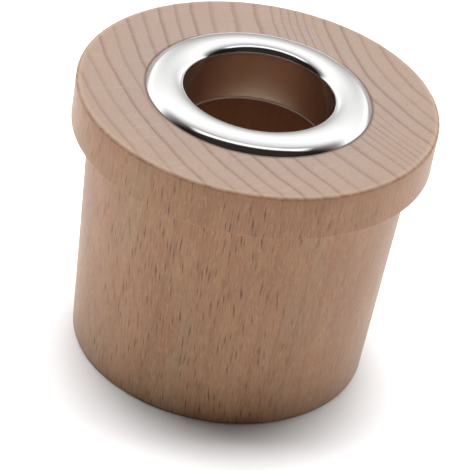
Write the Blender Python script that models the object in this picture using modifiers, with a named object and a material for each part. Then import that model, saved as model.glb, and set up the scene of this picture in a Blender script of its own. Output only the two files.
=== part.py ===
"""Needle case: a turned beech body with a steel liner in its mouth.

Units are metres and +Z is up. The origin is the centre of the base, on the surface that
the case stands on, and the case is round about the Z axis. Nothing on it moves: the
liner's sleeve is pressed into the bore, and its rim rests on the top face.
"""

import math

import bpy

# Turned body: a tapered barrel under a wider flange, with a flat-bottomed blind bore
BODY_HEIGHT = 0.0428
FLANGE_RADIUS = 0.0261
FLANGE_HEIGHT = 0.0068
BARREL_TOP_RADIUS = 0.02355
BARREL_BASE_RADIUS = 0.0220
TOP_EDGE_REACH = 0.0012
TOP_EDGE_DROP = 0.0005
SMALL_EDGE_ROUND = 0.0003
BORE_DEPTH = 0.0205

# Steel liner: a thin sleeve with a low domed rim. Rises are above the body's top face
LINER_INNER_RADIUS = 0.0107
LINER_DEPTH = 0.0078
SLEEVE_WALL = 0.0006
MOUTH_REACH = 0.0023
MOUTH_DROP = 0.00135
CROWN_RISE = 0.00132
DOME_EDGE_RADIUS = 0.01515
DOME_EDGE_RISE = 0.00092
RIM_RADIUS = 0.0162

# Clearance between the two pieces, which touch in the real object
SEAT_GAP = 0.0003

# How finely the round shapes are divided
TURNS = 96
EDGE_STEPS = 3
ROLL_STEPS = 6
DOME_STEPS = 3
SHARP_ANGLE = math.radians(40)
WELD_DISTANCE = 0.00001


def ellipse_arc(centre_radius, centre_height, reach, rise, start_deg, end_deg, steps):
    """Points of an elliptical arc in the (distance from axis, height) plane, both ends included."""
    points = []
    for step in range(steps + 1):
        angle = math.radians(start_deg + (end_deg - start_deg) * step / steps)
        points.append((centre_radius + reach * math.cos(angle), centre_height + rise * math.sin(angle)))
    return points


def arc(centre_radius, centre_height, size, start_deg, end_deg, steps):
    """Points of a round arc in the same plane."""
    return ellipse_arc(centre_radius, centre_height, size, size, start_deg, end_deg, steps)


def dome(start_radius, start_height, end_radius, end_height, steps):
    """Points of a dome that leaves its crown level and steepens evenly, without the crown."""
    points = []
    for step in range(1, steps + 1):
        share = step / steps
        radius = start_radius + (end_radius - start_radius) * share
        points.append((radius, start_height + (end_height - start_height) * share ** 2))
    return points


def body_profile():
    """The body's half section, from the bore floor out over the top and down to the base."""
    bore_radius = LINER_INNER_RADIUS + SLEEVE_WALL + SEAT_GAP
    bore_floor = BODY_HEIGHT - BORE_DEPTH
    shoulder = BODY_HEIGHT - FLANGE_HEIGHT
    small = SMALL_EDGE_ROUND
    top_edge_centre = (FLANGE_RADIUS - TOP_EDGE_REACH, BODY_HEIGHT - TOP_EDGE_DROP)
    return [
        (0.0, bore_floor),
        (bore_radius, bore_floor),
        (bore_radius, BODY_HEIGHT),
        *ellipse_arc(*top_edge_centre, TOP_EDGE_REACH, TOP_EDGE_DROP, 90, 0, EDGE_STEPS + 2),
        *arc(FLANGE_RADIUS - small, shoulder + small, small, 0, -90, EDGE_STEPS),
        (BARREL_TOP_RADIUS, shoulder),
        *arc(BARREL_BASE_RADIUS - small, small, small, 0, -90, EDGE_STEPS),
        (0.0, 0.0),
    ]


def liner_profile():
    """The liner's whole section: up the inside, over the rolled mouth and the rim, and back under."""
    sleeve_radius = LINER_INNER_RADIUS + SLEEVE_WALL
    sleeve_end = BODY_HEIGHT - LINER_DEPTH
    seat = BODY_HEIGHT + SEAT_GAP
    crown_radius = LINER_INNER_RADIUS + MOUTH_REACH
    crown = BODY_HEIGHT + CROWN_RISE
    dome_edge = BODY_HEIGHT + DOME_EDGE_RISE
    section = [
        (LINER_INNER_RADIUS, sleeve_end),
        *ellipse_arc(crown_radius, crown - MOUTH_DROP, MOUTH_REACH, MOUTH_DROP, 180, 90, ROLL_STEPS),
        *dome(crown_radius, crown, DOME_EDGE_RADIUS, dome_edge, DOME_STEPS),
        (RIM_RADIUS, seat),
        (sleeve_radius, seat),
        (sleeve_radius, sleeve_end),
    ]
    return section + section[:1]


def make_material(name, colour, roughness, metallic):
    """A Principled BSDF material of one colour."""
    material = bpy.data.materials.new(name)
    material.use_nodes = True
    shader = material.node_tree.nodes["Principled BSDF"]
    shader.inputs["Base Color"].default_value = (*colour, 1.0)
    shader.inputs["Roughness"].default_value = roughness
    shader.inputs["Metallic"].default_value = metallic
    return material


def turned_mesh(name, profile):
    """The closed mesh that the profile sweeps in one turn about the Z axis."""
    closed = profile[0] == profile[-1]
    points = profile[:-1] if closed else profile
    edges = [(index, (index + 1) % len(points)) for index in range(len(profile) - 1)]
    section = bpy.data.meshes.new(name + "_section")
    section.from_pydata([(radius, 0.0, height) for radius, height in points], edges, [])
    blank = bpy.data.objects.new(name + "_section", section)
    bpy.context.scene.collection.objects.link(blank)
    screw = blank.modifiers.new("Turn", "SCREW")
    screw.axis = "Z"
    screw.angle = math.tau
    screw.steps = TURNS
    screw.render_steps = TURNS
    screw.use_merge_vertices = True
    screw.merge_threshold = WELD_DISTANCE
    depsgraph = bpy.context.evaluated_depsgraph_get()
    mesh = bpy.data.meshes.new_from_object(blank.evaluated_get(depsgraph))
    mesh.name = name
    bpy.data.objects.remove(blank)
    bpy.data.meshes.remove(section)
    return mesh


def turn(name, profile, material, collection):
    """A turned piece, shaded smooth except at its corners."""
    mesh = turned_mesh(name, profile)
    mesh.materials.append(material)
    mesh.shade_smooth()
    mesh.set_sharp_from_angle(angle=SHARP_ANGLE)
    piece = bpy.data.objects.new(name, mesh)
    collection.objects.link(piece)
    return piece


def main():
    for leftover in list(bpy.data.objects):
        bpy.data.objects.remove(leftover)
    case = bpy.data.collections.new("needle_case")
    bpy.context.scene.collection.children.link(case)
    beech = make_material("beech", (0.54, 0.36, 0.24), 0.6, 0.0)
    steel = make_material("polished_steel", (0.78, 0.77, 0.75), 0.15, 1.0)
    turn("turned_body", body_profile(), beech, case)
    turn("steel_liner", liner_profile(), steel, case)


main()
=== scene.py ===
"""Needle case: the finished look of a turned beech body and its polished steel liner.

Units are metres and +Z is up. Every piece is a profile turned about the Z axis. Its outer
size is read from the frame's boxes, and the rest is given below. The materials are solid
textures in the case's own space: the growth rings on the top face and the ray flecks on
the side are laid out about the same pith.
"""

import math

import bpy
from mathutils import Matrix, Vector


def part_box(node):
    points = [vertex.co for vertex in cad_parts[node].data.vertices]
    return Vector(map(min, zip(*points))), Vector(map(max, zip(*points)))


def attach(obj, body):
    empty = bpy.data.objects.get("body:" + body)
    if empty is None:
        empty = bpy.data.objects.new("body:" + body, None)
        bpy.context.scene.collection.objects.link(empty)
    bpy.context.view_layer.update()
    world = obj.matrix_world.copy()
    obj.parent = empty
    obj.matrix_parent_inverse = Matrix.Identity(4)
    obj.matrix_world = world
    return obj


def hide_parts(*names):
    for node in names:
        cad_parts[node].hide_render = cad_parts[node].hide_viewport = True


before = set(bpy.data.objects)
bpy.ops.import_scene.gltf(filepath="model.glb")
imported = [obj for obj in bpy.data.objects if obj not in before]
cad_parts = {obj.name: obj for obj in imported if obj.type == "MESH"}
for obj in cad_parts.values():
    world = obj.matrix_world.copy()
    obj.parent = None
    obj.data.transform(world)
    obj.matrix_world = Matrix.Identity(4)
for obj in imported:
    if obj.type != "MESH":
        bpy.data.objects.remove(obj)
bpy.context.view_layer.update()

MM = 0.001

# Sizes read from the frame
body_low, body_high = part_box("turned_body")
liner_low, liner_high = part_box("steel_liner")
FLANGE_RADIUS = body_high.x
TOP = body_high.z
RIM_RADIUS = liner_high.x
CROWN = liner_high.z
LINER_END = liner_low.z

# Clearance between the two pieces, which touch in the real object
CLEARANCE = 0.05 * MM

# Turned body
FLANGE_HEIGHT = 6.8 * MM
BARREL_TOP_RADIUS = 23.55 * MM
BARREL_BASE_RADIUS = 22.0 * MM
TOP_EDGE_REACH = 1.2 * MM
TOP_EDGE_DROP = 0.5 * MM
FLANGE_EDGE_ROUND = 0.12 * MM
SMALL_EDGE_ROUND = 0.3 * MM
BORE_MOUTH_ROUND = 0.15 * MM
BORE_DEPTH = 20.5 * MM

# Steel liner: the mouth is a quarter ellipse, and the dome falls from its crown to a small corner
SLEEVE_INNER_RADIUS = 10.7 * MM
SLEEVE_WALL = 0.6 * MM
MOUTH_REACH = 2.3 * MM
MOUTH_DROP = 1.35 * MM
DOME_EDGE_RADIUS = 15.15 * MM
DOME_FALL = 0.40 * MM
CORNER_ROUND = 0.2 * MM
SLEEVE_BEAD = SLEEVE_WALL / 4
BORE_RADIUS = SLEEVE_INNER_RADIUS + SLEEVE_WALL + CLEARANCE

# How finely the pieces are divided
TURNS = 480
END_MARGIN = 0.08 * MM
MERGE_DISTANCE = 0.002 * MM
SHARP_ANGLE = math.radians(40)

# The pith of the tree that the body was cut from, as a place in the case's own space
PITH = Vector((59.0 * MM, 34.2 * MM, 0.0))

# The camera: how it stands to the centre of the top face
CAMERA_DISTANCE = 354.9 * MM
CAMERA_ELEVATION = math.radians(34.56)
CAMERA_ROLL = math.radians(10.02)
CAMERA_AIM_RIGHT = 0.11 * MM
CAMERA_AIM_DOWN = 20.45 * MM
CAMERA_SENSOR = 36.0
CAMERA_LENS = 191.5

# The lamps: how far they are turned about the case, where they stand before that turn, their
# width and height, and how bright their faces look
LIGHT_TURN = math.radians(12.0)
STRIP_PLACE = (0.0, 0.07, 0.84)
STRIP_SIZE = (0.60, 0.21)
STRIP_RADIANCE = 14.2
KEY_SIDE, KEY_BACK, KEY_HEIGHT = 0.62, 0.36, 0.74
KEY_SIZE = (0.62, 0.66)
KEY_RADIANCE = 0.45
WASH_PLACE = (0.0, 1.30, 0.90)
WASH_SIZE = (1.60, 0.80)
WASH_RADIANCE = 4.4

# The room that the steel mirrors. A tilt is a share of half a turn: 0 is level behind the
# camera, 90 / 180 is overhead, and 1 is level behind the table. A side, height or depth is
# that part of a direction of length 1
DARK_SIDE = 0.03
WALL_STARTS = 75 / 180
WALL_BRIGHTEST = 128 / 180
WALL_RADIANCE = 1.25
WALL_FOOT_SHARE = 0.35
WALL_END_RADIANCE = 1.28
WALL_END_SIDES = (0.12, 0.45)
WALL_END_HEIGHTS = (0.04, 0.24, 0.25, 0.62)
WALL_END_DEPTHS = (0.12, 0.3)
CORNER_SIDES = (0.45, 0.8)
CORNER_TILTS = (100 / 180, 125 / 180)
CORNER_DIMMING = 0.55
OVERHEAD_RADIANCE = 1.35
OVERHEAD_TILTS = (78 / 180, 81 / 180, 91 / 180, 97 / 180)
OVERHEAD_SIDES = (0.45, 0.65)
BACKDROP_RADIANCE = 0.95
WARM_RADIANCES = (0.05, 0.3)
WARM_TINT = (1.0, 0.80, 0.70, 1.0)


# ---------------------------------------------------------------- turned shapes

def ellipse_arc(centre_radius, centre_height, reach, rise, start_deg, end_deg, steps):
    """Points of an elliptical arc in the (distance from axis, height) plane, both ends included."""
    points = []
    for step in range(steps + 1):
        angle = math.radians(start_deg + (end_deg - start_deg) * step / steps)
        points.append((centre_radius + reach * math.cos(angle), centre_height + rise * math.sin(angle)))
    return points


def arc(centre_radius, centre_height, size, start_deg, end_deg, steps):
    """Points of a round arc in the same plane."""
    return ellipse_arc(centre_radius, centre_height, size, size, start_deg, end_deg, steps)


def run(start, end, steps):
    """Points between two ends of a straight stretch, with one close to each end to keep it flat."""
    start, end = Vector(start), Vector(end)
    near = min(0.25, END_MARGIN / (end - start).length)
    shares = [near] + [step / steps for step in range(1, steps)] + [1 - near]
    return [tuple(start.lerp(end, share)) for share in shares]


def turned_mesh(name, points):
    """The closed mesh that a profile sweeps in one turn about the Z axis."""
    closed = points[0] == points[-1]
    corners = points[:-1] if closed else points
    edges = [(index, (index + 1) % len(corners)) for index in range(len(points) - 1)]
    section = bpy.data.meshes.new(name + "_section")
    section.from_pydata([(radius, 0.0, height) for radius, height in corners], edges, [])
    blank = bpy.data.objects.new(name + "_section", section)
    bpy.context.scene.collection.objects.link(blank)
    screw = blank.modifiers.new("Turn", "SCREW")
    screw.axis = "Z"
    screw.angle = math.tau
    screw.steps = TURNS
    screw.render_steps = TURNS
    screw.use_merge_vertices = True
    screw.merge_threshold = MERGE_DISTANCE
    depsgraph = bpy.context.evaluated_depsgraph_get()
    mesh = bpy.data.meshes.new_from_object(blank.evaluated_get(depsgraph))
    mesh.name = name
    bpy.data.objects.remove(blank)
    bpy.data.meshes.remove(section)
    return mesh


def turned_piece(name, points, material):
    """A turned piece in the scene, shaded smooth except at its sharp corners."""
    mesh = turned_mesh(name, points)
    mesh.materials.append(material)
    mesh.shade_smooth()
    mesh.set_sharp_from_angle(angle=SHARP_ANGLE)
    piece = bpy.data.objects.new(name, mesh)
    bpy.context.scene.collection.objects.link(piece)
    return piece


def body_profile():
    """The body's half section, from the bore floor out over the top and down to the base."""
    floor = TOP - BORE_DEPTH
    shoulder = TOP - FLANGE_HEIGHT
    small, crisp, mouth = SMALL_EDGE_ROUND, FLANGE_EDGE_ROUND, BORE_MOUTH_ROUND
    top_centre = (FLANGE_RADIUS - TOP_EDGE_REACH, TOP - TOP_EDGE_DROP)
    floor_edge = arc(BORE_RADIUS - small, floor + small, small, -90, 0, steps=4)
    bore_edge = arc(BORE_RADIUS + mouth, TOP - mouth, mouth, 180, 90, steps=3)
    top_edge = ellipse_arc(*top_centre, TOP_EDGE_REACH, TOP_EDGE_DROP, 90, 0, steps=14)
    flange_edge = arc(FLANGE_RADIUS - crisp, shoulder + crisp, crisp, 0, -90, steps=4)
    root = (BARREL_TOP_RADIUS, shoulder)
    base_edge = arc(BARREL_BASE_RADIUS - small, small, small, 0, -90, steps=5)
    return [
        (0.0, floor),
        *run((0.0, floor), floor_edge[0], steps=3),
        *floor_edge,
        *run(floor_edge[-1], bore_edge[0], steps=6),
        *bore_edge,
        *run(bore_edge[-1], top_edge[0], steps=6),
        *top_edge,
        *run(top_edge[-1], flange_edge[0], steps=5),
        *flange_edge,
        *run(flange_edge[-1], root, steps=2),
        root,
        *run(root, base_edge[0], steps=14),
        *base_edge,
        *run(base_edge[-1], (0.0, 0.0), steps=3),
        (0.0, 0.0),
    ]


def liner_profile():
    """The liner's whole section: up the inside, over the rolled mouth and the rim, and back under."""
    outer = SLEEVE_INNER_RADIUS + SLEEVE_WALL
    half_wall = SLEEVE_WALL / 2
    crown_radius = SLEEVE_INNER_RADIUS + MOUTH_REACH
    seat = TOP + CLEARANCE

    # The inner side of the sleeve ends in a small bead, which stands in past the wall a little
    bead = SLEEVE_BEAD
    inner_end = arc(SLEEVE_INNER_RADIUS + bead * 0.4, LINER_END + bead, bead, -90, -240, steps=10)
    wall_foot = (SLEEVE_INNER_RADIUS, LINER_END + 3 * bead)

    mouth = ellipse_arc(crown_radius, CROWN - MOUTH_DROP, MOUTH_REACH, MOUTH_DROP, 180, 90, steps=32)
    dome = dome_points(crown_radius, DOME_EDGE_RADIUS - CORNER_ROUND / 2)
    skirt = skirt_points(dome[-1], seat)
    outer_end = arc(SLEEVE_INNER_RADIUS + half_wall, LINER_END + half_wall, half_wall, 0, -90, steps=6)
    return [
        *inner_end,
        wall_foot,
        *run(wall_foot, mouth[0], steps=5),
        *mouth,
        *dome,
        *skirt,
        *run(skirt[-1], (outer, seat), steps=3),
        (outer, seat),
        *run((outer, seat), outer_end[0], steps=5),
        *outer_end,
        inner_end[0],
    ]


def dome_points(crown_radius, edge_radius):
    """The top of the rim: level at its crown and steepening evenly to its edge."""
    steps = 20
    shares = [step / steps for step in range(1, steps + 1)]
    width = edge_radius - crown_radius
    return [(crown_radius + width * share, CROWN - DOME_FALL * share ** 2) for share in shares]


def skirt_points(start, seat):
    """The rim's turned-down edge: a small corner, then a convex skirt that steepens to the seat."""
    dome_slope, corner_slope, foot_slope = 20.5, 29.0, 52.0
    corner_steps, skirt_steps = 4, 14
    points = []
    radius, height = start
    for step in range(corner_steps):
        slope = math.radians(dome_slope + (corner_slope - dome_slope) * (step + 0.5) / corner_steps)
        radius += CORNER_ROUND / corner_steps * math.cos(slope)
        height -= CORNER_ROUND / corner_steps * math.sin(slope)
        points.append((radius, height))
    width, drop = RIM_RADIUS - radius, height - seat
    for step in range(1, skirt_steps + 1):
        share = step / skirt_steps
        fallen = drop * convex_fall(share, corner_slope, foot_slope)
        points.append((radius + width * share, height - fallen))
    return points


def convex_fall(share, start_slope, end_slope):
    """How far a slope that steepens evenly has fallen, from 0 at its start to 1 at its end."""
    first, last = math.tan(math.radians(start_slope)), math.tan(math.radians(end_slope))
    return (first * share + (last - first) * share ** 2 / 2) / ((first + last) / 2)


# ---------------------------------------------------------------- material nodes

class Graph:
    """Short calls that build the nodes of a material or a world. A value may be a socket or a number."""

    def __init__(self, owner):
        owner.use_nodes = True
        self.tree = owner.node_tree

    def node(self, kind, settings=None, inputs=None):
        made = self.tree.nodes.new(kind)
        for key, value in (settings or {}).items():
            setattr(made, key, value)
        for key, value in (inputs or {}).items():
            self.feed(made.inputs[key], value)
        return made

    def feed(self, socket, value):
        if isinstance(value, bpy.types.NodeSocket):
            self.tree.links.new(value, socket)
        else:
            socket.default_value = value

    def coordinate(self, kind):
        return self.node("ShaderNodeTexCoord").outputs[kind]

    def place(self):
        """Where a point lies in the case's own space, in millimetres."""
        return self.vector("MULTIPLY", self.coordinate("Object"), (1 / MM, 1 / MM, 1 / MM))

    def math(self, operation, *values):
        return self.node("ShaderNodeMath", {"operation": operation}, dict(enumerate(values))).outputs[0]

    def add(self, first, second):
        return self.math("ADD", first, second)

    def minus(self, first, second):
        return self.math("SUBTRACT", first, second)

    def times(self, first, second):
        return self.math("MULTIPLY", first, second)

    def vector(self, operation, *values):
        made = self.node("ShaderNodeVectorMath", {"operation": operation}, dict(enumerate(values)))
        return made.outputs["Value" if operation in ("LENGTH", "DOT_PRODUCT") else "Vector"]

    def parts(self, value):
        made = self.node("ShaderNodeSeparateXYZ", None, {0: value})
        return made.outputs[0], made.outputs[1], made.outputs[2]

    def joined(self, x, y, z):
        return self.node("ShaderNodeCombineXYZ", None, {0: x, 1: y, 2: z}).outputs[0]

    def scaled(self, place, across, along):
        """The place, scaled by one factor across the Z axis and by another along it."""
        return self.vector("MULTIPLY", place, (across, across, along))

    def from_axis(self, place):
        """How far a place lies from the Z axis."""
        return self.vector("LENGTH", self.scaled(place, 1.0, 0.0))

    def step(self, value, start, end, low=0.0, high=1.0):
        """A smooth step from low to high as the value goes from start to end."""
        ranges = {"Value": value, "From Min": start, "From Max": end, "To Min": low, "To Max": high}
        return self.node("ShaderNodeMapRange", {"interpolation_type": "SMOOTHSTEP"}, ranges).outputs[0]

    def fall(self, value, start, end):
        """A smooth step from 1 to 0 as the value goes from start to end."""
        return self.step(value, start, end, 1.0, 0.0)

    def window(self, value, rise_start, rise_end, fall_start, fall_end):
        """A smooth rise from 0 to 1 and then a smooth fall back to 0."""
        return self.times(self.step(value, rise_start, rise_end), self.fall(value, fall_start, fall_end))

    def band(self, value, centre, half_width):
        """1 at the centre, falling smoothly to 0 at the half width on both sides."""
        return self.fall(self.math("ABSOLUTE", self.minus(value, centre)), 0.0, half_width)

    def noise(self, vector, scale=1.0, detail=2.0, roughness=0.5):
        inputs = {"Vector": vector, "Scale": scale, "Detail": detail, "Roughness": roughness}
        return self.node("ShaderNodeTexNoise", None, inputs).outputs[0]

    def chance(self, value):
        """A steady random number from 0 to 1 for each value."""
        return self.node("ShaderNodeTexWhiteNoise", {"noise_dimensions": "1D"}, {"W": value}).outputs[0]

    def mix(self, share, first, second):
        """From the first colour to the second as the share goes from 0 to 1.

        The node's inputs 6 and 7 and its output 2 are the ones for colours.
        """
        return self.node("ShaderNodeMix", {"data_type": "RGBA"}, {0: share, 6: first, 7: second}).outputs[2]

    def tint(self, colour, mask, strength, tone):
        """The colour, drawn towards the tone by up to the strength where the mask is 1."""
        return self.mix(self.times(mask, strength), colour, tone)

    def bump(self, height, strength, distance):
        inputs = {"Height": height, "Strength": strength, "Distance": distance}
        return self.node("ShaderNodeBump", None, inputs).outputs[0]


def grey(level):
    return (level, level, level, 1.0)


# Tones of the end grain and of the side grain, and the tones painted at the top edge, the rim's seat and
# the bore (a darker line, painted shade, a painted highlight, a painted shadow and painted light), as
# linear colours
END_DULL = (0.345, 0.252, 0.203, 1.0)
END_FRESH = (0.385, 0.285, 0.231, 1.0)
END_LATE_WOOD = (0.205, 0.118, 0.088, 1.0)
END_PORES = (0.225, 0.14, 0.105, 1.0)
END_RAYS = (0.46, 0.35, 0.29, 1.0)
SIDE_DULL = (0.395, 0.190, 0.088, 1.0)
SIDE_FRESH = (0.458, 0.238, 0.118, 1.0)
SIDE_OLIVE = (0.40, 0.28, 0.155, 1.0)
SIDE_BLOTCH = (0.44, 0.20, 0.09, 1.0)
SIDE_LATE_WOOD = (0.26, 0.13, 0.07, 1.0)
SIDE_DARK_FIBRE = (0.24, 0.105, 0.048, 1.0)
SIDE_PALE_FIBRE = (0.56, 0.36, 0.21, 1.0)
SIDE_FLECK = (0.145, 0.052, 0.022, 1.0)
EDGE_PAINTED_SHADE = (0.36, 0.16, 0.07, 1.0)
EDGE_LINE = (0.27, 0.10, 0.035, 1.0)
EDGE_PAINTED_HIGHLIGHT = (0.62, 0.42, 0.27, 1.0)
RIM_SEAT_PAINTED_SHADOW = (0.10, 0.055, 0.035, 1.0)
BORE_WALL_PAINTED_SHADE = (0.235, 0.075, 0.028, 1.0)
BORE_FLOOR_PAINTED_LIGHT = (0.52, 0.41, 0.30, 1.0)


def beech_material():
    """Beech as a solid texture: rings about the pith, rays out from it, fibres along Z."""
    material = bpy.data.materials.new("beech")
    g = Graph(material)
    place = g.place()
    x, y, z = g.parts(place)
    normal = g.coordinate("Normal")

    # End grain shows where the surface faces up or down, and side grain where it stands upright
    end_grain = g.step(g.math("ABSOLUTE", g.parts(normal)[2]), 0.45, 0.85)

    # Distance from the pith and place along the ring, in millimetres
    from_pith = g.joined(g.minus(x, PITH.x / MM), g.minus(y, PITH.y / MM), 0.0)
    pith_x, pith_y, _ = g.parts(from_pith)
    along_ring = g.times(g.math("ARCTAN2", pith_y, pith_x), PITH.length / MM)
    distance = g.vector("LENGTH", from_pith)

    # The rings waver slowly and widely, then in ripples, then finely: noise scale, scale along Z, reach
    for scale, along, reach in ((0.09, 0.25, 1.0), (0.55, 0.3, 0.16), (2.6, 0.3, 0.16)):
        waver = g.minus(g.noise(g.scaled(place, 1.0, along), scale), 0.5)
        distance = g.add(distance, g.times(waver, reach))

    # A fleck shows where the surface cuts across its ray
    crossing = g.math("ABSOLUTE", g.vector("DOT_PRODUCT", normal, g.vector("NORMALIZE", from_pith)))
    fleck = g.times(ray_flecks(g, distance, along_ring, z), g.step(crossing, 0.2, 0.62))
    ring = ring_lines(g, distance)
    side = side_grain_colour(g, place, ring, fleck)
    end = end_grain_colour(g, place, distance, along_ring, ring)
    colour = edge_line_and_painted_light(g, g.mix(end_grain, side, end), place)

    fibres = g.noise(g.scaled(place, 4.5, 0.7), detail=3.0, roughness=0.6)
    pores = g.noise(g.scaled(place, 1.0, 0.2), scale=6.0, roughness=0.6)
    height = g.tint(g.mix(end_grain, fibres, pores), fleck, 0.6, grey(0.0))
    shader = g.tree.nodes["Principled BSDF"]
    g.feed(shader.inputs["Base Color"], colour)
    g.feed(shader.inputs["Normal"], g.bump(height, strength=0.5, distance=0.03 * MM))
    g.feed(shader.inputs["Roughness"], g.add(0.46, g.times(pores, 0.16)))
    shader.inputs["Specular IOR Level"].default_value = 0.5
    shader.inputs["Sheen Weight"].default_value = 0.25
    shader.inputs["Sheen Roughness"].default_value = 0.4
    return material


def ring_lines(g, distance):
    """0 in a year's early wood, rising to 1 in the thin line of late wood that ends it."""
    first_ring, ring_width = 42.8, 2.47
    slow_from, slow_to, rings_gained = 52.5, 61.6, 3.05
    fast_from, fast_to, rings_lost = 58.6, 72.8, 1.15
    years = g.math("DIVIDE", g.minus(distance, first_ring), ring_width)
    gained = g.step(distance, slow_from, slow_to, 0.0, rings_gained)
    lost = g.step(distance, fast_from, fast_to, 0.0, rings_lost)
    age = g.minus(g.add(years, gained), lost)
    year = g.math("FLOOR", age)

    # The late wood darkens over the last third of a year and stops short at its end
    line = g.window(g.minus(age, year), 0.66, 0.96, 0.97, 1.0)
    strength = g.add(g.times(g.chance(year), 0.5), 0.5)
    return g.times(line, strength)


def ray_flecks(g, distance, along_ring, z):
    """1 inside a ray: a thin upright sheet that runs out from the pith, in a common and a rarer layer."""
    drift = g.noise(g.joined(g.times(along_ring, 0.4), g.times(z, 0.05), 0.0))
    across = g.add(along_ring, g.times(drift, 1.2))
    common = fleck_layer(g, across, distance, z, pitch=(0.56, 11.5), least_luck=-0.3)
    rarer = fleck_layer(g, g.add(across, 40.0), distance, z, pitch=(0.48, 8.5), least_luck=0.0)
    return g.math("MAXIMUM", common, rarer)


def fleck_layer(g, across, distance, z, pitch, least_luck):
    """Rays that are tall thin diamonds in section, pitched in millimetres across and along the grain."""
    across_pitch, upright_pitch = pitch
    sheet = g.joined(g.times(across, 1 / across_pitch), g.times(z, 1 / upright_pitch), 0.0)
    flat = {"feature": "F1", "voronoi_dimensions": "2D", "distance": "MANHATTAN"}
    cells = g.node("ShaderNodeTexVoronoi", flat, {"Vector": sheet, "Scale": 1.0})

    # Luck decides whether a ray shows, and reach how far out from the pith it is seen
    luck, reach, _ = g.parts(cells.outputs["Color"])
    drawn = g.times(g.fall(cells.outputs["Distance"], 0.05, 0.18), g.step(luck, least_luck, 0.75))
    outward = g.noise(g.joined(g.times(distance, 0.22), g.times(reach, 60.0), 0.0), detail=1.0)
    return g.times(drawn, g.step(outward, 0.18, 0.36))


def end_grain_colour(g, place, distance, along_ring, ring):
    """Pinkish, with thin dark ring lines, fine pores and faint rays."""
    cloud = g.noise(place, scale=0.16, detail=3.0)
    colour = g.tint(g.mix(cloud, END_DULL, END_FRESH), ring, 0.80, END_LATE_WOOD)
    speckle = g.noise(g.scaled(place, 1.0, 0.05), scale=4.5, detail=3.0, roughness=0.65)
    colour = g.tint(colour, g.step(speckle, 0.46, 0.68), 0.34, END_PORES)
    z = g.parts(place)[2]
    rays = g.noise(g.joined(g.times(along_ring, 2.6), g.times(distance, 0.12), g.times(z, 0.1)))
    return g.tint(colour, g.step(rays, 0.56, 0.72), 0.22, END_RAYS)


def side_grain_colour(g, place, ring, fleck):
    """Light brown, with fine upright fibres, soft blotches and dark ray flecks."""
    slow = g.scaled(place, 1.0, 0.35)
    cloud = g.noise(slow, scale=0.17, detail=3.0, roughness=0.55)
    colour = g.mix(g.step(cloud, 0.3, 0.7), SIDE_DULL, SIDE_FRESH)
    olive = g.noise(g.vector("ADD", slow, (31.0, 7.0, 3.0)), scale=0.11)
    colour = g.tint(colour, g.step(olive, 0.52, 0.72), 0.45, SIDE_OLIVE)
    blotch = g.noise(g.vector("ADD", slow, (5.0, 17.0, 40.0)), scale=0.42)
    colour = g.tint(colour, g.step(blotch, 0.63, 0.76), 0.5, SIDE_BLOTCH)
    colour = g.tint(colour, ring, 0.30, SIDE_LATE_WOOD)
    dark = g.noise(g.scaled(place, 4.4, 0.38), detail=3.0, roughness=0.66)
    colour = g.tint(colour, g.step(dark, 0.46, 0.66), 0.42, SIDE_DARK_FIBRE)
    pale = g.noise(g.vector("ADD", g.scaled(place, 5.0, 0.8), (0.0, 0.0, 60.0)), roughness=0.6)
    colour = g.tint(colour, g.step(pale, 0.52, 0.75), 0.5, SIDE_PALE_FIBRE)
    return g.tint(colour, fleck, 0.85, SIDE_FLECK)


def edge_line_and_painted_light(g, colour, place):
    """Tones painted onto the wood: painted shade and a painted highlight at the top edge, a painted shadow
    at the rim's seat, painted shade on the bore's wall and painted light on its floor; also a darker thin
    line under the top edge.
    """
    # The top edge: how far below the top face, in millimetres, and only away from the rim
    radius = g.from_axis(place)
    below = g.minus(TOP / MM, g.parts(place)[2])
    outside = g.step(radius, 20.0, 21.0)
    ragged = g.noise(g.scaled(place, 0.9, 0.3), detail=3.0, roughness=0.7)
    depth = g.add(below, g.times(g.minus(ragged, 0.5), 0.5))
    # Painted shade: a soft darker band on the side just under the top edge
    painted_shade = g.times(g.band(depth, centre=1.0, half_width=1.4), outside)
    colour = g.tint(colour, painted_shade, 0.32, EDGE_PAINTED_SHADE)
    # A darker thin line just under the top edge, broken where the noise is low
    line = g.times(g.band(depth, centre=0.38, half_width=0.26), g.step(ragged, 0.40, 0.60))
    colour = g.tint(colour, g.times(line, outside), 0.6, EDGE_LINE)
    # Painted highlight: a pale cream line along the top edge
    painted_highlight = g.times(g.band(below, centre=0.10, half_width=0.12), outside)
    colour = g.tint(colour, painted_highlight, 0.35, EDGE_PAINTED_HIGHLIGHT)

    # A painted shadow: the dark line about the rim's seat. Then the bore
    rim = g.band(radius, centre=RIM_RADIUS / MM + 0.1, half_width=0.42)
    colour = g.tint(colour, g.times(rim, g.fall(below, 0.5, 1.0)), 0.75, RIM_SEAT_PAINTED_SHADOW)
    bore, floor = BORE_RADIUS / MM, BORE_DEPTH / MM
    inside = g.times(g.fall(radius, bore + 0.3, bore + 0.8), g.step(below, 1.0, 3.0))
    # Painted shade: the bore's wall drawn darker and redder than the side grain
    wall = g.times(inside, g.fall(below, floor - 0.6, floor - 0.2))
    colour = g.tint(colour, wall, 0.7, BORE_WALL_PAINTED_SHADE)
    # Painted light: the bore's floor drawn paler than the end grain, as if lit through the mouth
    painted_floor_light = g.times(inside, g.step(below, floor - 0.4, floor - 0.1))
    return g.tint(colour, painted_floor_light, 0.8, BORE_FLOOR_PAINTED_LIGHT)


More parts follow.
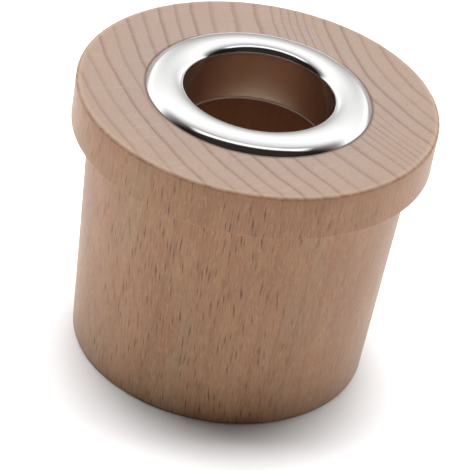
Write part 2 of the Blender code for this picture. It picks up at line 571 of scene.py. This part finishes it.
def steel_material():
    """Polished steel: near-mirror on the rim, softer with fine turning marks in the sleeve."""
    bright, turned, cut = (0.86, 0.855, 0.85, 1.0), (0.74, 0.73, 0.72, 1.0), grey(0.35)
    rim_roughness, sleeve_roughness, smudge_roughness, cut_roughness = 0.06, 0.12, 0.05, 0.35
    material = bpy.data.materials.new("polished_steel")
    g = Graph(material)
    place = g.place()
    radius = g.from_axis(place)
    z = g.parts(place)[2]
    sleeve = g.fall(z, TOP / MM - 0.8, TOP / MM + 0.2)
    turning = g.noise(g.joined(g.times(radius, 9.0), g.times(z, 9.0), 0.0), detail=3.0, roughness=0.6)
    smudge = g.noise(place, scale=0.35, detail=3.0)
    cut_edge = g.fall(z, LINER_END / MM + 0.10, LINER_END / MM + 0.40)
    roughness = g.add(rim_roughness, g.times(sleeve, sleeve_roughness))
    marks = g.add(g.times(smudge, smudge_roughness), g.times(cut_edge, cut_roughness))
    shader = g.tree.nodes["Principled BSDF"]
    g.feed(shader.inputs["Roughness"], g.add(roughness, marks))
    colour = g.mix(g.times(turning, 0.25), bright, turned)
    g.feed(shader.inputs["Base Color"], g.tint(colour, cut_edge, 0.5, cut))
    g.feed(shader.inputs["Normal"], g.bump(g.times(turning, sleeve), strength=0.25, distance=0.01 * MM))
    shader.inputs["Metallic"].default_value = 1.0
    return material


def floor_material():
    """A plain white table with a slight gloss."""
    material = bpy.data.materials.new("studio_white")
    g = Graph(material)
    mottle = g.noise(g.coordinate("Object"), scale=4.0)
    colour = g.mix(mottle, (0.765, 0.765, 0.77, 1.0), (0.78, 0.78, 0.785, 1.0))
    shader = g.tree.nodes["Principled BSDF"]
    g.feed(shader.inputs["Base Color"], colour)
    shader.inputs["Roughness"].default_value = 0.35
    shader.inputs["Specular IOR Level"].default_value = 0.3
    return material


# ---------------------------------------------------------------- the stage

def add_floor():
    """A plain pale floor at the height of the base."""
    half = 4.0
    mesh = bpy.data.meshes.new("studio_floor")
    corners = [(-half, -half, 0.0), (half, -half, 0.0), (half, half, 0.0), (-half, half, 0.0)]
    mesh.from_pydata(corners, [], [(0, 1, 2, 3)])
    mesh.materials.append(floor_material())
    floor = bpy.data.objects.new("studio_floor", mesh)
    bpy.context.scene.collection.objects.link(floor)
    return floor


def add_softbox(name, place, size, radiance):
    """A rectangular softbox that faces the case's top, given by how bright its face looks."""
    width, height = size
    light = bpy.data.lights.new(name, "AREA")
    light.shape = "RECTANGLE"
    light.size = width
    light.size_y = height
    light.energy = radiance * math.pi * width * height
    box = bpy.data.objects.new(name, light)
    box.location = Matrix.Rotation(LIGHT_TURN, 3, "Z") @ Vector(place)
    facing = Vector((0.0, 0.0, TOP)) - box.location
    box.rotation_euler = facing.to_track_quat("-Z", "Y").to_euler()
    box.visible_glossy = False
    bpy.context.scene.collection.objects.link(box)
    return box


def add_lights(floor):
    """A strong strip overhead, two softboxes behind on the left and right, and a wash for the table.

    The steel mirrors the room and not these lamps, which would burn out on it.
    """
    add_softbox("overhead_strip", STRIP_PLACE, STRIP_SIZE, STRIP_RADIANCE)
    add_softbox("left_key", (-KEY_SIDE, KEY_BACK, KEY_HEIGHT), KEY_SIZE, KEY_RADIANCE)
    add_softbox("right_key", (KEY_SIDE, KEY_BACK, KEY_HEIGHT), KEY_SIZE, KEY_RADIANCE)
    wash = add_softbox("table_wash", WASH_PLACE, WASH_SIZE, WASH_RADIANCE)
    table = bpy.data.collections.new("table_only")
    table.objects.link(floor)
    wash.light_linking.receiver_collection = table


def add_world():
    """A room as the steel mirrors it, in stripes that run from left to right.

    It is dark behind the camera, has a bright strip overhead, and a wall behind the table
    that dims towards its foot but for its left and right ends. The camera sees a near white
    backdrop in its place.
    """
    world = bpy.data.worlds.new("studio_room")
    g = Graph(world)
    x, y, z = g.parts(g.coordinate("Generated"))
    tilt = g.math("DIVIDE", g.math("ARCTAN2", z, g.times(y, -1.0)), math.pi)
    sideways = g.math("ABSOLUTE", x)

    rise = g.step(tilt, WALL_STARTS, WALL_BRIGHTEST, DARK_SIDE, WALL_RADIANCE)
    dimming = g.step(tilt, WALL_BRIGHTEST, 1.0, 1.0, WALL_FOOT_SHARE)
    low = g.times(g.window(z, *WALL_END_HEIGHTS), g.step(y, *WALL_END_DEPTHS))
    ends = g.times(g.step(sideways, *WALL_END_SIDES), low)
    wall = g.mix(ends, g.times(rise, dimming), grey(WALL_END_RADIANCE))
    corner = g.times(g.step(sideways, *CORNER_SIDES), g.fall(tilt, *CORNER_TILTS))
    wall = g.times(wall, g.minus(1.0, g.times(corner, CORNER_DIMMING)))
    overhead = g.times(g.window(tilt, *OVERHEAD_TILTS), g.fall(sideways, *OVERHEAD_SIDES))
    room = g.math("MAXIMUM", wall, g.times(overhead, OVERHEAD_RADIANCE))

    seen = g.node("ShaderNodeLightPath").outputs["Is Camera Ray"]
    strength = g.add(g.times(room, g.minus(1.0, seen)), g.times(seen, BACKDROP_RADIANCE))
    colour = g.mix(g.step(strength, *WARM_RADIANCES), WARM_TINT, grey(1.0))
    background = g.tree.nodes["Background"]
    g.feed(background.inputs["Color"], colour)
    g.feed(background.inputs["Strength"], strength)
    bpy.context.scene.world = world


def add_camera():
    """The camera, leaning so that the case tips to the right in the picture."""
    data = bpy.data.cameras.new("camera")
    data.sensor_width = CAMERA_SENSOR
    data.lens = CAMERA_LENS
    data.clip_start = 0.01
    camera = bpy.data.objects.new("camera", data)
    right = Vector((1.0, 0.0, 0.0))
    back = Vector((0.0, -math.cos(CAMERA_ELEVATION), math.sin(CAMERA_ELEVATION)))
    up = back.cross(right)
    aim = Vector((0.0, 0.0, TOP)) + right * CAMERA_AIM_RIGHT - up * CAMERA_AIM_DOWN
    camera_x = right * math.cos(CAMERA_ROLL) + up * math.sin(CAMERA_ROLL)
    camera_y = up * math.cos(CAMERA_ROLL) - right * math.sin(CAMERA_ROLL)
    turn = Matrix((camera_x, camera_y, back)).transposed()
    camera.matrix_world = Matrix.Translation(aim + back * CAMERA_DISTANCE) @ turn.to_4x4()
    bpy.context.scene.collection.objects.link(camera)
    bpy.context.scene.camera = camera


def main():
    add_camera()
    body = turned_piece("beech_body", body_profile(), beech_material())
    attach(body, "root")
    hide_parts("turned_body")
    liner = turned_piece("steel_mouth_liner", liner_profile(), steel_material())
    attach(liner, "root")
    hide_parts("steel_liner")
    add_lights(add_floor())
    add_world()
    bpy.context.scene.view_settings.view_transform = "Standard"


main()
